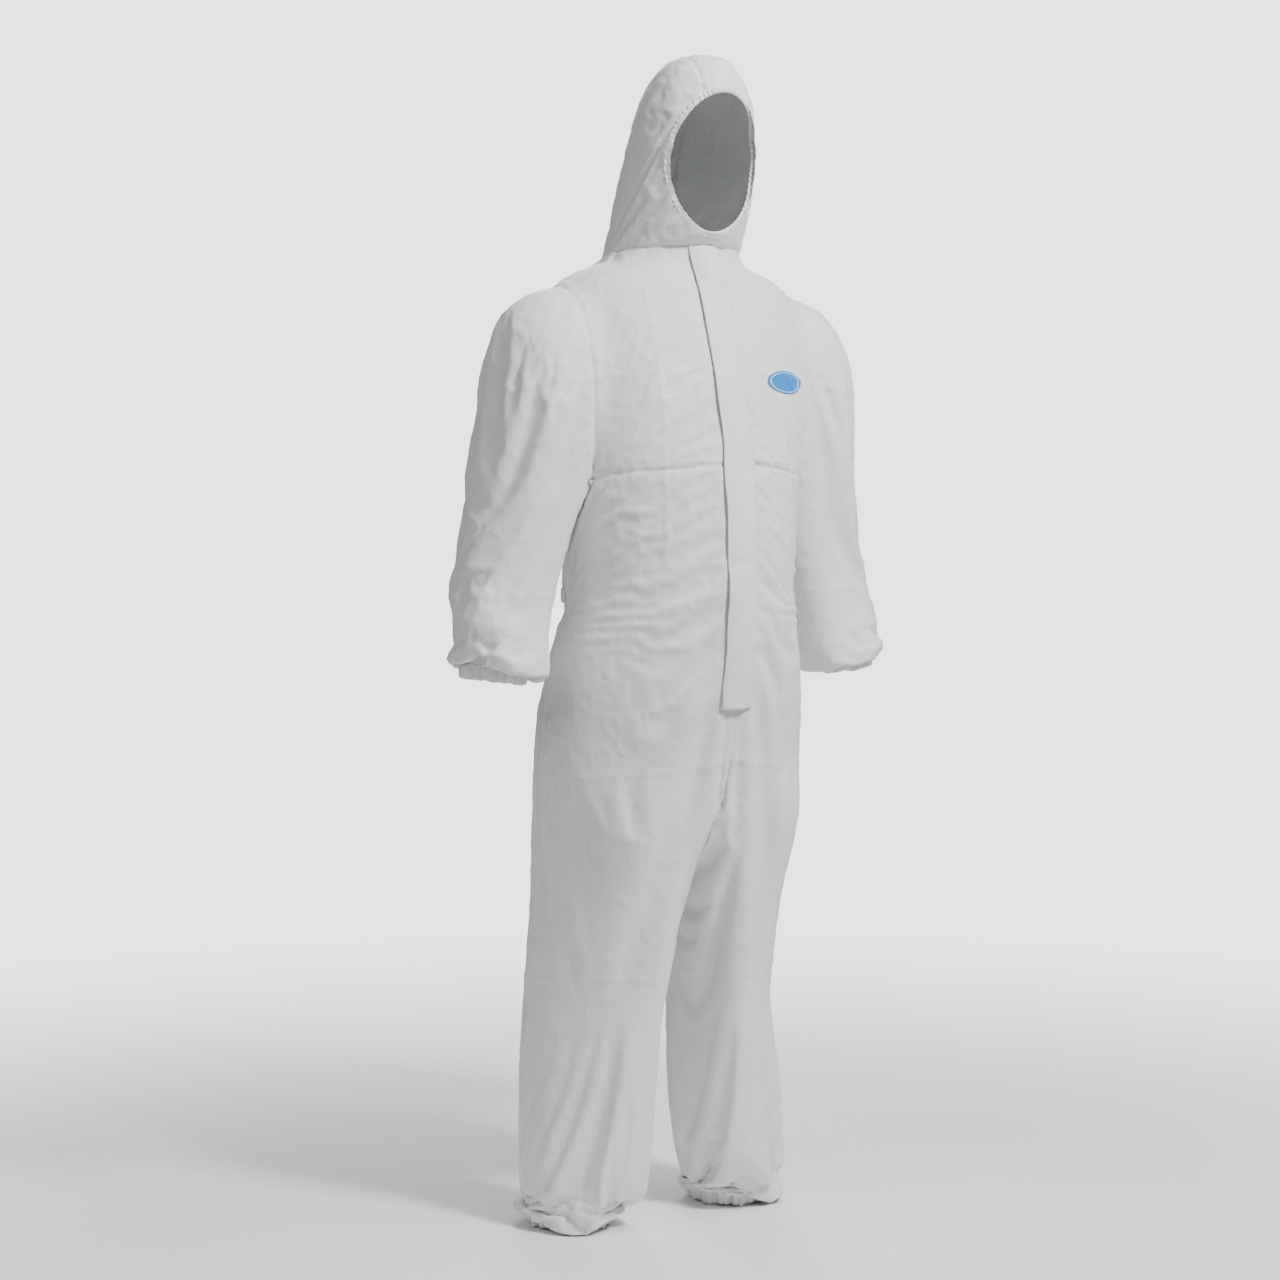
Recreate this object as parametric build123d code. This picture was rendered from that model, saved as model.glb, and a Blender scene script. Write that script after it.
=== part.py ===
from build123d import *
import math
import os

# Hooded disposable coverall in its worn shape, in millimetres.
# +Z is up, the front faces -Y and the wearer's left is +X.
# The origin is the neck seat, where the suit hangs from the wearer's shoulders.
# Heights are measured from the ankle hems, and level() turns them into z.

# Driving dimensions
SEAT_HEIGHT = 1420
SHOULDER_TOP_HEIGHT = 1415
CROTCH_HEIGHT = 640
WAIST_HEIGHT = 934
CHEST_SEAM_HEIGHT = 1124
ARMPIT_HEIGHT = 1085
WALL = 1.6  # stands for fabric that is folded and creased over itself
BODY_GAP = 0.5  # between solids on different bodies
SEAM_GAP = 0.3  # between panels on one body
FAR = 1000

# Front line: a circular bow over chest and belly, seen from the side
FRONT_BOW_RADIUS = 1100
FRONT_BOW_HEIGHT = 970  # where the front stands furthest forward
FRONT_BOW_DEPTH = 172

# Torso outline: height, half the width, how far the back stands behind the seat
TORSO = (
    (CROTCH_HEIGHT, 215, 170),
    (700, 217, 186),
    (780, 213, 188),
    (860, 200, 176),
    (WAIST_HEIGHT, 188, 160),
    (1060, 187, 160),
    (CHEST_SEAM_HEIGHT, 203, 161),
    (1180, 216, 159),
    (1240, 222, 154),
    (1310, 222, 145),
    (1355, 216, 138),
    (1378, 206, 133),
    (1398, 172, 127),
    (SHOULDER_TOP_HEIGHT, 112, 121),
)

# Hood outline: height, front y, back y, half the width
HOOD = (
    (1440, -70, 118, 103),
    (1457, -96, 113, 104),
    (1509, -116, 98, 104),
    (1560, -129, 82, 100),
    (1612, -132, 61, 93),
    (1664, -128, 37, 79),
    (1700, -112, 6, 56),
    (1719, -88, -18, 28),
)
NECK_SECTIONS = 4  # of the hood's lowest sections, also used by the collar
CENTRE_PANEL_HALF_WIDTH = 34

# Face opening
FACE_HALF_WIDTH = 68
FACE_HALF_HEIGHT = 95
FACE_CENTRE_HEIGHT = 1558
FACE_HEM_WIDTH = 11
FACE_FRONT_Y = -20  # the opening cuts only what is in front of this

# Elasticated hems at wrist and ankle
HEM_HEIGHT = 22
HEM_THICKNESS = 5
ELASTIC_THICKNESS = 1.2
CHANNEL_CLEARANCE = 0.4
WRIST_LEAN = 8
WRIST_CENTRE = (305, 12, 815)
WRIST_RADII = (46, 50)
ANKLE_CENTRE = (143, 74, 0)
ANKLE_RADII = (62, 66)

# Leg outline: height, centre x, centre y, half the width, half the depth
LEG = (
    (CROTCH_HEIGHT - SEAM_GAP, 107, 24, 105, 145),
    (560, 108, 36, 102, 116),
    (440, 115, 62, 93, 102),
    (370, 122, 76, 89, 98),
    (268, 126, 80, 90, 99),
    (165, 131, 76, 88, 96),
    (50, 143, 74, 78, 84),
    (HEM_HEIGHT + SEAM_GAP, 143, 74, 62, 66),
)

# Sleeve outline: inner point x and height, outer point x and height, centre y, half the depth
ARMHOLE_X = 190
SLEEVE = (
    (ARMHOLE_X + BODY_GAP, 1092, ARMHOLE_X + BODY_GAP, 1388, 10, 88),
    (191.5, 1090, 252, 1376, 14, 93),
    (193, 1085, 290, 1334, 20, 95),
    (196, 1070, 322, 1176, 32, 87),
    (204, 1045, 335, 1085, 36, 79),
    (227, 970, 358, 990, 34, 70),
    (236, 905, 366, 924, 20, 67),
    (235, 868, 369, 887, 14, 70),
    (257, 833, 349, 846, 12, 50),
)


# Back waist casing, in depths outward from the back panel
CASING_HALF_HEIGHT = 11
CASING_DEPTH = 4.2
CHANNEL_DEPTHS = (1.3, 3.2)
ELASTIC_DEPTHS = (1.7, 2.8)
CASING_MARGIN = 2
CASING_START_Y = 30

# Zip: widths across the front, and depths outward from the front line
TAPE_OUTER = 16
TAPE_DEPTHS = (-1.2, -0.4)
COIL_INNER = 0.7
COIL_OUTER = 2.7
COIL_DEPTHS = (-1.8, 0.2)
STOP_OUTER = 3.4
STOP_DEPTHS = (-2.1, 0.5)
STOP_HEIGHT = 4
ZIP_TOP = 1436
ZIP_BOTTOM = 800
SLIDER_LENGTH = 12
SLIDER_HALF_WIDTH = 4.6
SLIDER_UPPER_DEPTHS = (0.8, 2.0)
SLIDER_LOWER_DEPTHS = (-3.6, -2.4)
POST_HALF_WIDTH = 0.5
SLIDER_PLAY = 0.5

# Pull tab, hung on a pin between two lugs of the slider
LUG_INNER = 3.7
PIN_RADIUS = 0.5
KNUCKLE_BORE = 0.6
KNUCKLE_RADIUS = 1.3
PIN_DEPTH = 3.6
TAB_HALF_WIDTH = 3.5
TAB_DEPTHS = (3.1, 4.1)
TAB_LENGTH = 22

# Storm flap, sewn on the wearer's left and free on the right
FLAP_SEWN_X = 24
FLAP_FREE_X = -27
FLAP_TOP = 1440
FLAP_BOTTOM = 775
FLAP_DEPTHS = (10, 11.2)
ADHESIVE_DEPTHS = (9.5, 9.9)
LINER_DEPTHS = (9.0, 9.4)
ADHESIVE_MARGIN = 15
ADHESIVE_X = (-24, -14)
LINER_X = (-25, -13)

# Chest badge
BADGE_CENTRE = (118, 1246)
BADGE_RADII = (46, 17)
BADGE_DEPTHS = (0.3, 1.1)

# Crotch gusset
GUSSET_RADII = (38, 122)
GUSSET_Y = 8

# Joints that turn about lines along X: y, height and the radius that parts the two bodies
HIP = (15, CROTCH_HEIGHT, 170)
KNEE = (70, 400, 140)
HOOD_TILT = (22, 1375, 125)


def level(height):
    """Height above the ankle hems, as a z in the frame."""
    return height - SEAT_HEIGHT


def front_y(height):
    """The y of the bowed front line at a height."""
    rise = height - FRONT_BOW_HEIGHT
    return FRONT_BOW_RADIUS - FRONT_BOW_DEPTH - math.sqrt(FRONT_BOW_RADIUS**2 - rise**2)


def bow_angle(height):
    """Degrees along the front bow, upward from its most forward point."""
    return math.degrees(math.asin((height - FRONT_BOW_HEIGHT) / FRONT_BOW_RADIUS))


BOW_CENTRE = (0, FRONT_BOW_RADIUS - FRONT_BOW_DEPTH, level(FRONT_BOW_HEIGHT))


# Regions and tools for cutting


def slab(x_range, y_range, z_range):
    """A block between limits on each axis."""
    limits = (x_range, y_range, z_range)
    size = [high - low for low, high in limits]
    middle = [(high + low) / 2 for low, high in limits]
    return Pos(*middle) * Box(*size)


def left_of(x):
    return slab((x, FAR), (-FAR, FAR), (-2 * FAR, FAR))


def behind(y):
    return slab((-FAR, FAR), (y, FAR), (-2 * FAR, FAR))


def between(low, high):
    return slab((-FAR, FAR), (-FAR, FAR), (level(low), level(high)))


def above(height):
    return between(height, height + FAR)


def below(height):
    return between(height - 2 * FAR, height)


def sweep_cylinder(joint, clearance=0):
    """What a joint that turns about a line along X keeps on its parent's side."""
    y, height, radius = joint
    return Pos(0, y, level(height)) * Rot(0, 90, 0) * Cylinder(radius + clearance, 2 * FAR)


def front_oval(x, height, half_width, half_height):
    """An elliptical prism through the front of the suit."""
    face = Plane.XZ * Pos(x, level(height)) * Ellipse(half_width, half_height)
    return extrude(face, -FACE_FRONT_Y + FAR) & slab((-FAR, FAR), (-FAR, FACE_FRONT_Y), (-2 * FAR, FAR))


def both_sides(name, solid):
    """A piece made for the wearer's left, and its mirror image."""
    return {f"{name}_left": solid, f"{name}_right": mirror(solid, about=Plane.YZ)}


# Tubes of fabric, as straight-ruled spans between elliptical sections


def section_face(x, y, height, half_width, half_depth, lean):
    """An elliptical section, its outer end raised by lean degrees."""
    return Pos(x, y, level(height)) * Rot(0, -lean, 0) * Ellipse(half_width, half_depth)


def tube(sections, grow=0):
    """A solid through sections, grown outward by a depth."""
    faces = [section_face(x, y, h, a + grow, b + grow, lean) for x, y, h, a, b, lean in sections]
    return loft(faces, ruled=True)


def skin(sections, depths):
    """The layer between two depths outward from a tube's surface, open at both ends."""
    return tube(sections, depths[1]) - tube(sections, depths[0])


def hood_sections():
    return [
        (0, (front + back) / 2, height, half_width, (back - front) / 2, 0)
        for height, front, back, half_width in HOOD
    ]


def torso_sections():
    sections = []
    for height, half_width, back in TORSO:
        front = front_y(height)
        sections.append((0, (back + front) / 2, height, half_width, (back - front) / 2, 0))
    return sections + hood_sections()[:NECK_SECTIONS]


def leg_sections():
    return [(x, y, height, a, b, 0) for height, x, y, a, b in LEG]


def sleeve_sections():
    sections = []
    for inner_x, inner_height, outer_x, outer_height, y, half_depth in SLEEVE:
        across, rise = outer_x - inner_x, outer_height - inner_height
        half_width = math.hypot(across, rise) / 2
        lean = math.degrees(math.atan2(rise, across))
        middle_x = (inner_x + outer_x) / 2
        sections.append((middle_x, y, (inner_height + outer_height) / 2, half_width, half_depth, lean))
    return sections


# Pieces. Each function returns {node name: solid}.


def torso_body():
    """Neck, chest and belly, open at the armholes and trimmed to the hood's joint."""
    kept = sweep_cylinder(HOOD_TILT) + below(SHOULDER_TOP_HEIGHT)
    body = skin(torso_sections(), (-WALL, 0)) & kept
    armhole = left_of(ARMHOLE_X) & above(ARMPIT_HEIGHT)
    return body - armhole - mirror(armhole, about=Plane.YZ)


def torso_panels():
    """Front panels parted by the zip and the chest seam, and the two back panels."""
    body = torso_body()
    upper = above(CHEST_SEAM_HEIGHT + SEAM_GAP / 2)
    lower = below(CHEST_SEAM_HEIGHT - SEAM_GAP / 2)
    slot = TAPE_OUTER + SEAM_GAP
    zip_slot = slab((-slot, slot), (-FAR, 0), (level(ZIP_BOTTOM - STOP_HEIGHT - SEAM_GAP), FAR))
    front = (body - behind(0) - zip_slot) & left_of(SEAM_GAP / 2)
    back = body & behind(SEAM_GAP)
    panels = {"back_upper": back & upper, "back_lower": back & lower}
    return panels | both_sides("front_upper", front & upper) | both_sides("front_lower", front & lower)


def waist_gather():
    """The casing sewn across the back of the waist, and the elastic in it."""
    sections = torso_sections()
    back = behind(CASING_START_Y)
    channel_half_height = CASING_HALF_HEIGHT - CASING_MARGIN
    channel_back = behind(CASING_START_Y + CASING_MARGIN)
    casing_band = between(WAIST_HEIGHT - CASING_HALF_HEIGHT, WAIST_HEIGHT + CASING_HALF_HEIGHT)
    channel_band = between(WAIST_HEIGHT - channel_half_height, WAIST_HEIGHT + channel_half_height)
    elastic_half_height = channel_half_height - CHANNEL_CLEARANCE
    elastic_band = between(WAIST_HEIGHT - elastic_half_height, WAIST_HEIGHT + elastic_half_height)
    casing = skin(sections, (SEAM_GAP, CASING_DEPTH)) & casing_band & back
    casing -= skin(sections, CHANNEL_DEPTHS) & channel_band & channel_back
    elastic = skin(sections, ELASTIC_DEPTHS) & elastic_band & behind(CASING_START_Y + 2 * CASING_MARGIN)
    return {"waist_casing": casing, "waist_elastic": elastic}


def crotch_gusset():
    """A boat-shaped patch between the leg tops."""
    patch = extrude(Ellipse(*GUSSET_RADII), WALL)
    return {"crotch_gusset": Pos(0, GUSSET_Y, level(CROTCH_HEIGHT + SEAM_GAP)) * patch}


def chest_badge():
    """A plain oval on the wearer's left chest."""
    oval = front_oval(*BADGE_CENTRE, *BADGE_RADII)
    return {"chest_badge": skin(torso_sections(), BADGE_DEPTHS) & oval}


def hood_panels():
    """Two side panels and the centre panel over the crown, open at the face and the neck."""
    sections = hood_sections()
    height, y, top, half_width, half_depth, lean = sections[-1]
    lining = sections[:-1] + [(height, y, top - 2 * WALL, half_width, half_depth, lean)]
    hood = tube(sections) - tube(lining, -WALL)
    hood -= sweep_cylinder(HOOD_TILT, BODY_GAP) + below(SHOULDER_TOP_HEIGHT)
    opening = FACE_HEM_WIDTH + SEAM_GAP
    hood -= front_oval(
        0, FACE_CENTRE_HEIGHT, FACE_HALF_WIDTH + opening, FACE_HALF_HEIGHT + opening
    )
    side = hood & left_of(CENTRE_PANEL_HALF_WIDTH + SEAM_GAP)
    half = CENTRE_PANEL_HALF_WIDTH
    crown = slab((-half, half), (-FAR, FAR), (level(FACE_CENTRE_HEIGHT), FAR)) + slab(
        (-half, half), (0, FAR), (-FAR, FAR)
    )
    chin = slab((-half, half), (-FAR, 0), (-FAR, level(FACE_CENTRE_HEIGHT)))
    return both_sides("hood_side", side) | {"hood_centre": hood & crown, "hood_chin": hood & chin}


def oval_ring(outer_grow, inner_grow):
    """A band round the face opening, between two distances outside its edge."""
    outer = front_oval(
        0, FACE_CENTRE_HEIGHT, FACE_HALF_WIDTH + outer_grow, FACE_HALF_HEIGHT + outer_grow
    )
    inner = front_oval(
        0, FACE_CENTRE_HEIGHT, FACE_HALF_WIDTH + inner_grow, FACE_HALF_HEIGHT + inner_grow
    )
    return outer - inner


def face_gather():
    """The folded hem round the face opening, and the elastic in its channel."""
    sections = hood_sections()
    hem = skin(sections, (-HEM_THICKNESS, 0)) & oval_ring(FACE_HEM_WIDTH, 0)
    channel = (-HEM_THICKNESS + CASING_MARGIN - CHANNEL_CLEARANCE, -1)
    hem -= skin(sections, channel) & oval_ring(FACE_HEM_WIDTH - CASING_MARGIN, CASING_MARGIN)
    elastic = (channel[0] + CHANNEL_CLEARANCE, channel[1] - CHANNEL_CLEARANCE)
    inset = CASING_MARGIN + CHANNEL_CLEARANCE
    elastic = skin(sections, elastic) & oval_ring(FACE_HEM_WIDTH - inset, inset)
    return {"face_hem": hem, "face_elastic": elastic}


def hem_and_elastic(half_width, half_depth):
    """A folded hem standing on XY with a channel in it, and the elastic lying in the channel."""

    def ring(inset, thickness, height):
        outer = Ellipse(half_width - inset, half_depth - inset)
        inner = Ellipse(half_width - inset - thickness, half_depth - inset - thickness)
        return Pos(0, 0, (HEM_HEIGHT - height) / 2) * extrude(outer - inner, height)

    elastic_inset = (HEM_THICKNESS - ELASTIC_THICKNESS) / 2
    channel_height = HEM_HEIGHT - 2 * WALL
    channel = ring(
        elastic_inset - CHANNEL_CLEARANCE, ELASTIC_THICKNESS + 2 * CHANNEL_CLEARANCE, channel_height
    )
    elastic = ring(elastic_inset, ELASTIC_THICKNESS, channel_height - 2 * CHANNEL_CLEARANCE)
    return ring(0, HEM_THICKNESS, HEM_HEIGHT) - channel, elastic


def placed_hems(name, centre, radii, lean):
    """A hem and its elastic at the end of each limb."""
    hem, elastic = hem_and_elastic(*radii)
    x, y, height = centre
    place = Pos(x, y, level(height)) * Rot(0, -lean, 0)
    return both_sides(f"{name}_hem", place * hem) | both_sides(f"{name}_elastic", place * elastic)


def sleeves():
    """Set-in sleeves, each with its armhole edge in an upright plane, joined from their spans."""
    sections = sleeve_sections()
    spans = [skin(pair, (-WALL, 0)) for pair in zip(sections, sections[1:])]
    sleeve = spans[0]
    for span in spans[1:]:
        sleeve += span
    return both_sides("sleeve", sleeve)


def legs():
    """Each leg as three lengths that turn about the hip and the knee without meeting."""
    leg = skin(leg_sections(), (-WALL, 0))
    knee_height = KNEE[1]
    top = leg & sweep_cylinder(HIP)
    below_hip = leg - sweep_cylinder(HIP, BODY_GAP)
    thigh = below_hip & (sweep_cylinder(KNEE) + above(knee_height))
    shin = (leg - sweep_cylinder(KNEE, BODY_GAP)) & below(knee_height)
    return both_sides("leg_top", top) | both_sides("thigh", thigh) | both_sides("shin", shin)


# The zip and the storm flap follow the front bow


def bow_strip(x_range, depths, heights):
    """A strip that follows the front line, between two depths outward from it."""
    start, end = bow_angle(heights[0]), bow_angle(heights[1])
    thickness = depths[1] - depths[0]
    radius = FRONT_BOW_RADIUS + (depths[0] + depths[1]) / 2
    section = Plane.XY * Pos((x_range[0] + x_range[1]) / 2, -radius)
    strip = revolve(section * Rectangle(x_range[1] - x_range[0], thickness), Axis.X, end - start)
    return Pos(*BOW_CENTRE) * Rot(-end, 0, 0) * strip


def bow_place(height, depth):
    """Where a flat part sits on the front line: its Y points inward and its Z up along the line."""
    return Pos(*BOW_CENTRE) * Rot(-bow_angle(height), 0, 0) * Pos(0, -FRONT_BOW_RADIUS - depth, 0)


def zip_halves():
    """Tapes, coils and stops. The coils stop short of each other, and the slider's post runs between."""
    tape_x = (COIL_OUTER + SEAM_GAP, TAPE_OUTER)
    tape = bow_strip(tape_x, TAPE_DEPTHS, (ZIP_BOTTOM - STOP_HEIGHT, ZIP_TOP))
    coil = bow_strip((COIL_INNER, COIL_OUTER), COIL_DEPTHS, (ZIP_BOTTOM, ZIP_TOP - STOP_HEIGHT))
    stop_x = (COIL_INNER, COIL_OUTER)
    top_stop = bow_strip(stop_x, STOP_DEPTHS, (ZIP_TOP - STOP_HEIGHT + SEAM_GAP, ZIP_TOP))
    bottom_heights = (ZIP_BOTTOM - STOP_HEIGHT, ZIP_BOTTOM - SEAM_GAP)
    bottom_stop = bow_strip((-COIL_OUTER, COIL_OUTER), STOP_DEPTHS, bottom_heights)
    pieces = both_sides("zip_tape", tape) | both_sides("zip_coil", coil)
    pieces["zip_top_stops"] = Compound([top_stop, mirror(top_stop, about=Plane.YZ)])
    pieces["zip_bottom_stop"] = bottom_stop
    return pieces


SLIDER_TOP = ZIP_TOP - STOP_HEIGHT - SLIDER_PLAY
SLIDER_MIDDLE = SLIDER_TOP - SLIDER_LENGTH / 2


def zip_slider():
    """Two plates joined by a post between the coils, with lugs and a pin for the tab."""
    heights = (SLIDER_TOP - SLIDER_LENGTH, SLIDER_TOP)
    across = (-SLIDER_HALF_WIDTH, SLIDER_HALF_WIDTH)
    plates = bow_strip(across, SLIDER_UPPER_DEPTHS, heights)
    plates += bow_strip(across, SLIDER_LOWER_DEPTHS, heights)
    post_depths = (SLIDER_LOWER_DEPTHS[0], SLIDER_UPPER_DEPTHS[1])
    plates += bow_strip((-POST_HALF_WIDTH, POST_HALF_WIDTH), post_depths, heights)
    lug_heights = (SLIDER_MIDDLE - KNUCKLE_RADIUS, SLIDER_MIDDLE + KNUCKLE_RADIUS)
    lug_depths = (SLIDER_UPPER_DEPTHS[0], PIN_DEPTH + KNUCKLE_RADIUS)
    lug = bow_strip((LUG_INNER, SLIDER_HALF_WIDTH), lug_depths, lug_heights)
    pin = bow_place(SLIDER_MIDDLE, PIN_DEPTH) * Rot(0, 90, 0) * Cylinder(PIN_RADIUS, 2 * SLIDER_HALF_WIDTH)
    return {"zip_slider": plates + lug + mirror(lug, about=Plane.YZ) + pin}


def pull_tab():
    """A knuckle on the slider's pin, and a flat tab hanging from it with a hole near its end."""
    place = bow_place(SLIDER_MIDDLE, PIN_DEPTH)
    knuckle = Rot(0, 90, 0) * Cylinder(KNUCKLE_RADIUS, 2 * TAB_HALF_WIDTH)
    bore = Rot(0, 90, 0) * Cylinder(KNUCKLE_BORE, 3 * TAB_HALF_WIDTH)
    outer, inner = TAB_DEPTHS[1] - PIN_DEPTH, TAB_DEPTHS[0] - PIN_DEPTH
    blade = slab((-TAB_HALF_WIDTH, TAB_HALF_WIDTH), (-outer, -inner), (-TAB_LENGTH, 0))
    blade = fillet(blade.edges().filter_by(Axis.Y).group_by(Axis.Z)[0], TAB_HALF_WIDTH * 0.8)
    hole = Pos(0, 0, TAB_HALF_WIDTH - TAB_LENGTH) * Rot(90, 0, 0) * Cylinder(TAB_HALF_WIDTH / 2, TAB_LENGTH)
    return {"pull_tab": place * (knuckle + blade - bore - hole)}


def storm_flap():
    """The flap over the zip, with the adhesive strip under its free edge and the strip's liner."""
    strip_heights = (FLAP_BOTTOM + ADHESIVE_MARGIN, FLAP_TOP - ADHESIVE_MARGIN)
    return {
        "storm_flap": bow_strip((FLAP_FREE_X, FLAP_SEWN_X), FLAP_DEPTHS, (FLAP_BOTTOM, FLAP_TOP)),
        "flap_adhesive": bow_strip(ADHESIVE_X, ADHESIVE_DEPTHS, strip_heights),
        "flap_liner": bow_strip(LINER_X, LINER_DEPTHS, strip_heights),
    }


def all_pieces():
    pieces = {}
    for make in (torso_panels, waist_gather, crotch_gusset, chest_badge, hood_panels, face_gather):
        pieces |= make()
    for make in (sleeves, legs, zip_halves, zip_slider, pull_tab, storm_flap):
        pieces |= make()
    pieces |= placed_hems("wrist", WRIST_CENTRE, WRIST_RADII, WRIST_LEAN)
    pieces |= placed_hems("ankle", ANKLE_CENTRE, ANKLE_RADII, 0)
    return pieces


os.makedirs("parts", exist_ok=True)
for node, solid in all_pieces().items():
    export_step(solid, f"parts/{node}.step")
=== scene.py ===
import math

import bmesh
import bpy
import numpy as np
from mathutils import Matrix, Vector, noise
from mathutils.bvhtree import BVHTree


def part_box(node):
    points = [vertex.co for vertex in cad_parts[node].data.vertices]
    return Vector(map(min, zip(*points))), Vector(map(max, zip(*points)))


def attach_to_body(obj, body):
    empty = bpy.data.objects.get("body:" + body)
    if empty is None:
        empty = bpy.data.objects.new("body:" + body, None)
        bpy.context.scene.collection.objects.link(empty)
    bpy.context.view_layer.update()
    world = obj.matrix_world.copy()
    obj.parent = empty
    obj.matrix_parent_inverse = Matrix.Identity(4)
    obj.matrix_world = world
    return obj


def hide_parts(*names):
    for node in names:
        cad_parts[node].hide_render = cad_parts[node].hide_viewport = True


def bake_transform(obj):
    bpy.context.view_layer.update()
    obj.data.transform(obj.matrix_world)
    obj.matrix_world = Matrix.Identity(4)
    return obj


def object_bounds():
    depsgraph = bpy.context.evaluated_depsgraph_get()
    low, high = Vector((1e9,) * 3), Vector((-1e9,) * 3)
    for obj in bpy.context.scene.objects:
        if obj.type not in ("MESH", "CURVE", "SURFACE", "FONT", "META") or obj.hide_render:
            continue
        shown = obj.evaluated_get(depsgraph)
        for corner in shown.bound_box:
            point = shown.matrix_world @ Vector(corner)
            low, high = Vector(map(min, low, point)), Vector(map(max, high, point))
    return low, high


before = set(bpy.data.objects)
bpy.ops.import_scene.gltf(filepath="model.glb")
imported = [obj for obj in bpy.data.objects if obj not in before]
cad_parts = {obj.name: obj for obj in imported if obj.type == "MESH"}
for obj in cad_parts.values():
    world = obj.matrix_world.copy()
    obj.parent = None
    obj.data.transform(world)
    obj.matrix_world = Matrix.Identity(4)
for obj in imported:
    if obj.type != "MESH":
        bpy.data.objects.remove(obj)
CAD_LOW, CAD_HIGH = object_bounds()
FLOOR_Z = CAD_LOW[2]

# Heights in metres above the ankle hems
CROTCH = 0.640
WAIST = 0.934
CHEST_SEAM = 1.124
ARMPIT = 1.085

# The front follows a circular bow: radius, height and depth of its most forward point
BOW_RADIUS = 1.100
BOW_HEIGHT = 0.970
BOW_DEPTH = 0.172

# Outline of the worn torso: height, half the width, back y
TORSO = (
    (0.600, 0.160, 0.150),
    (0.640, 0.212, 0.168),
    (0.700, 0.215, 0.184),
    (0.780, 0.211, 0.186),
    (0.860, 0.198, 0.174),
    (0.934, 0.184, 0.157),
    (1.000, 0.184, 0.158),
    (1.060, 0.186, 0.159),
    (1.124, 0.196, 0.160),
    (1.180, 0.204, 0.157),
    (1.240, 0.208, 0.152),
    (1.310, 0.208, 0.143),
    (1.355, 0.204, 0.136),
    (1.380, 0.194, 0.131),
    (1.400, 0.164, 0.126),
    (1.416, 0.116, 0.121),
)
# Outline of the hood: height, half the width, front y, back y
HOOD = (
    (1.440, 0.102, -0.070, 0.117),
    (1.457, 0.103, -0.095, 0.112),
    (1.509, 0.103, -0.115, 0.097),
    (1.560, 0.099, -0.128, 0.081),
    (1.612, 0.092, -0.131, 0.060),
    (1.664, 0.078, -0.127, 0.036),
    (1.695, 0.058, -0.114, 0.010),
    (1.711, 0.038, -0.098, -0.010),
    (1.717, 0.014, -0.074, -0.036),
)
# Outline of a leg: height, centre x, centre y, half the width, half the depth
LEG = (
    (0.760, 0.108, 0.014, 0.080, 0.125),
    (0.640, 0.107, 0.024, 0.103, 0.142),
    (0.560, 0.108, 0.036, 0.101, 0.115),
    (0.440, 0.115, 0.062, 0.092, 0.101),
    (0.370, 0.122, 0.076, 0.088, 0.097),
    (0.268, 0.126, 0.080, 0.089, 0.098),
    (0.165, 0.131, 0.076, 0.088, 0.096),
    (0.060, 0.143, 0.074, 0.082, 0.088),
    (0.030, 0.143, 0.074, 0.066, 0.070),
    (0.004, 0.143, 0.074, 0.060, 0.064),
)
# Outline of a sleeve: inner x and height, outer x and height, centre y, half the depth
SLEEVE = (
    (0.120, 1.130, 0.120, 1.398, 0.012, 0.080),
    (0.170, 1.100, 0.190, 1.389, 0.010, 0.088),
    (0.191, 1.090, 0.252, 1.374, 0.014, 0.092),
    (0.193, 1.085, 0.289, 1.331, 0.020, 0.094),
    (0.197, 1.070, 0.320, 1.176, 0.032, 0.086),
    (0.205, 1.045, 0.334, 1.085, 0.036, 0.078),
    (0.227, 0.975, 0.356, 0.995, 0.034, 0.070),
    (0.236, 0.926, 0.358, 0.943, 0.022, 0.064),
    (0.227, 0.886, 0.374, 0.903, 0.015, 0.078),
    (0.230, 0.864, 0.372, 0.880, 0.013, 0.077),
    (0.257, 0.836, 0.353, 0.849, 0.012, 0.053),
    (0.262, 0.812, 0.350, 0.824, 0.012, 0.048),
)
# How far the wearer's stand-in lies inside the cloth: height, torso and hood
TORSO_EASE = (
    (0.600, 0.012),
    (0.800, 0.012),
    (0.934, 0.018),
    (1.124, 0.012),
    (1.300, 0.008),
    (1.378, 0.006),
    (1.440, 0.010),
    (1.560, 0.012),
    (1.720, 0.008),
)
LEG_EASE = 0.019
SLEEVE_EASE = 0.018
FACE_CENTRE = 1.558
FACE_RADII = (0.073, 0.100)
FACE_FRONT_Y = -0.020
ARMHOLE_X = 0.190
HOOD_CENTRE_X = 0.034
NECK_SEAM = 1.440
ZIP_HALF_WIDTH = 0.0155
ZIP_BOTTOM = 0.796
FLAP_X = (-0.027, 0.024)
FLAP_HEIGHTS = (0.775, 1.440)
LEG_SPLIT = 0.475
GROIN = Vector((0.5, 0, -0.866))
GUSSET_RADII = (0.040, 0.120)
GUSSET_Y = 0.008
WRIST_RADII = (0.046, 0.050)
ANKLE_CENTRE = (0.143, 0.074, 0.022)
ANKLE_RADII = (0.062, 0.066)
HEM_HEIGHT = 0.022
CLOTH_FRAMES = 28
WRIST_CENTRE = (0.305, 0.012, 0.837)
WRIST_LEAN = math.radians(8)
CLOTH_STEP = 0.0085
RING_POINTS = 72
RINGS_PER_SPAN = 5


def level(height):
    return FLOOR_Z + height


def front_bow(height):
    """The y of the bowed front line at a height."""
    return BOW_RADIUS - BOW_DEPTH - math.sqrt(BOW_RADIUS**2 - (height - BOW_HEIGHT) ** 2)


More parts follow.
